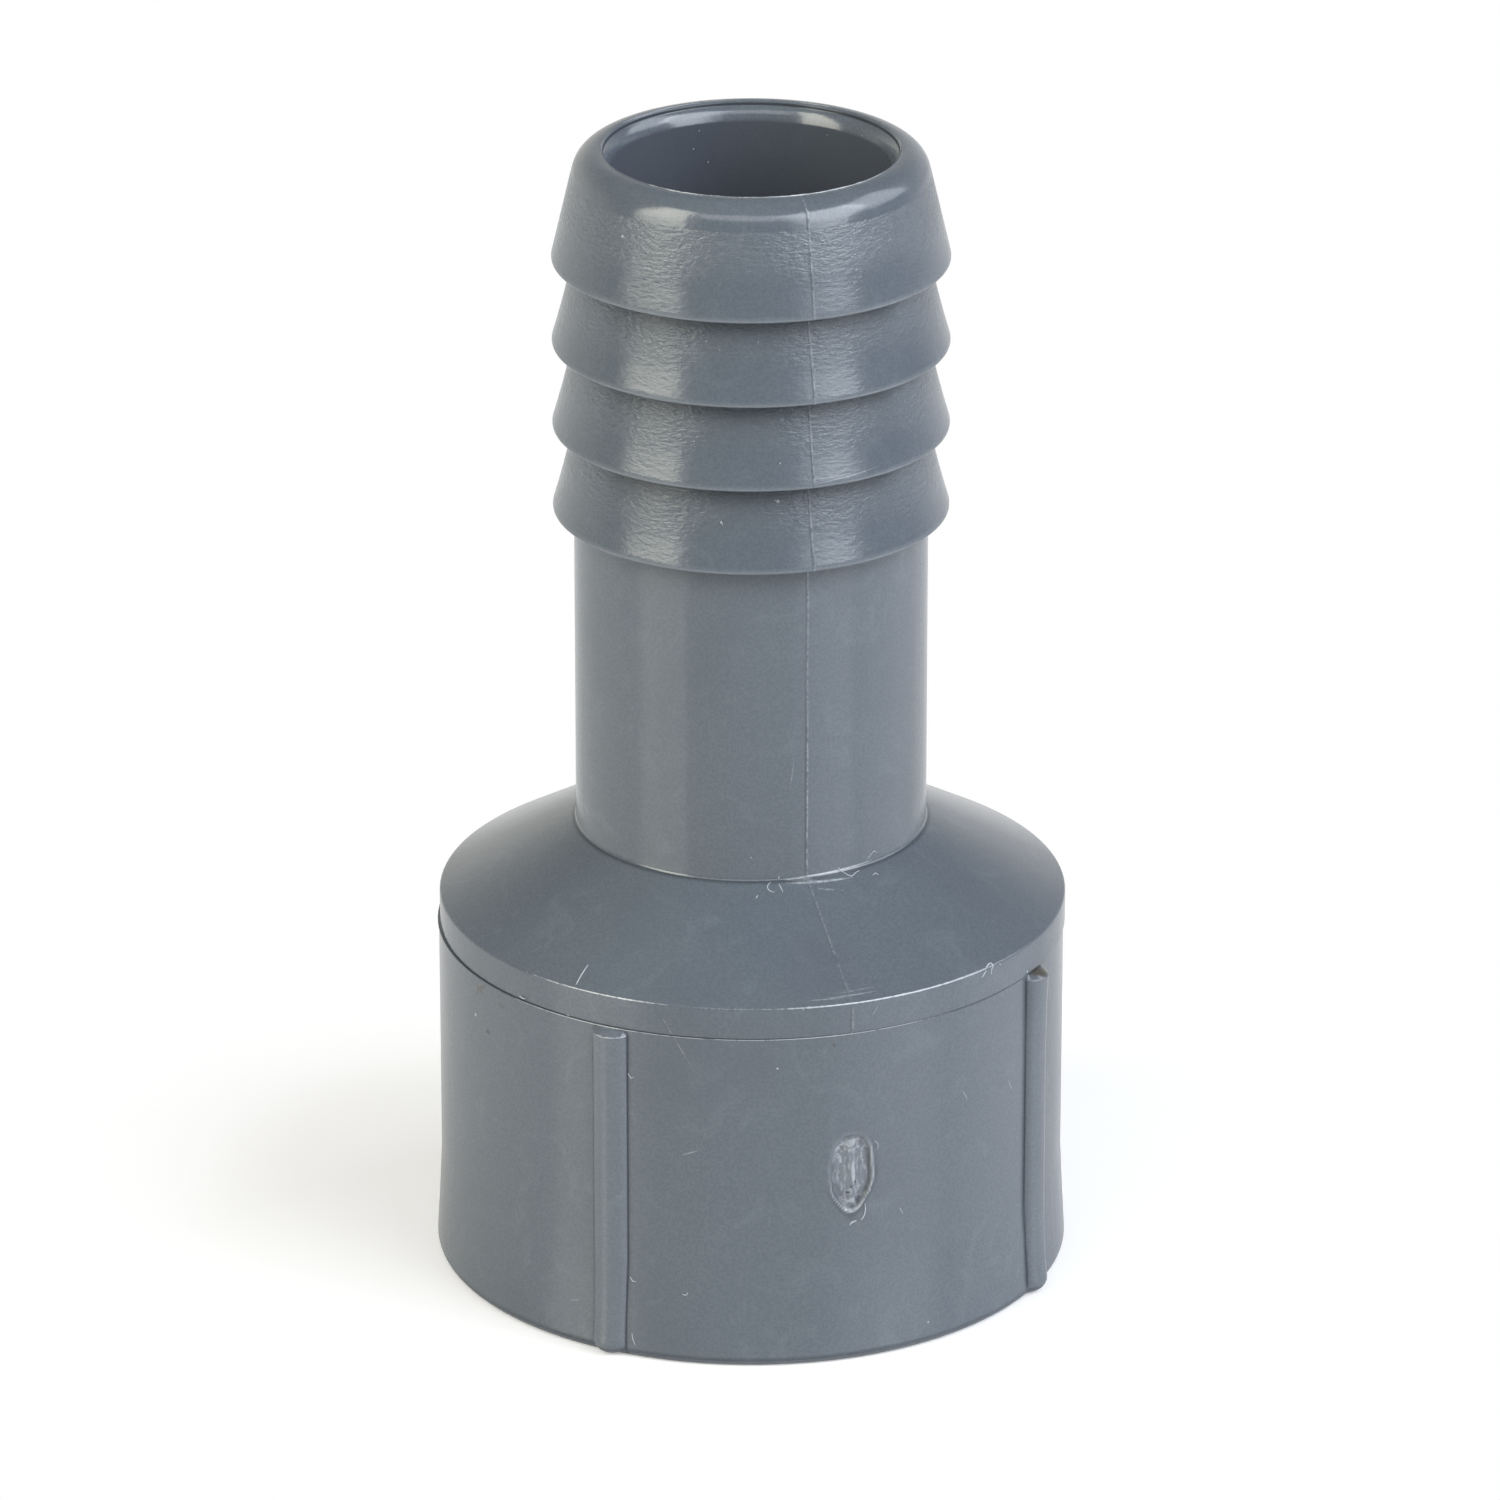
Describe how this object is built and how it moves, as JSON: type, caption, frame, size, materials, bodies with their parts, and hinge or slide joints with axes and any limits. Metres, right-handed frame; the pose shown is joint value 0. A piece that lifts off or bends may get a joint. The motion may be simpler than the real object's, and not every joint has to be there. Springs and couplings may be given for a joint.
{
  "type": "threaded hose barb",
  "caption": "One-piece moulded pipe adapter: barbed hose tail above a ribbed, flared socket with a female pipe thread.",
  "frame": {"origin": "on the axis of the waterway, in the plane of the socket's open end", "axes": "+Z along the waterway's axis, from the threaded open end up to the tip of the hose tail; -Y faces the front of the picture"},
  "size_m": [0.0284, 0.0284, 0.0519],
  "materials": {
    "barb_body": "moulded grey rigid vinyl, slight sheen"
  },
  "bodies": {
    "root": {"barb_body": "barb_body"}
  },
  "joints": []
}
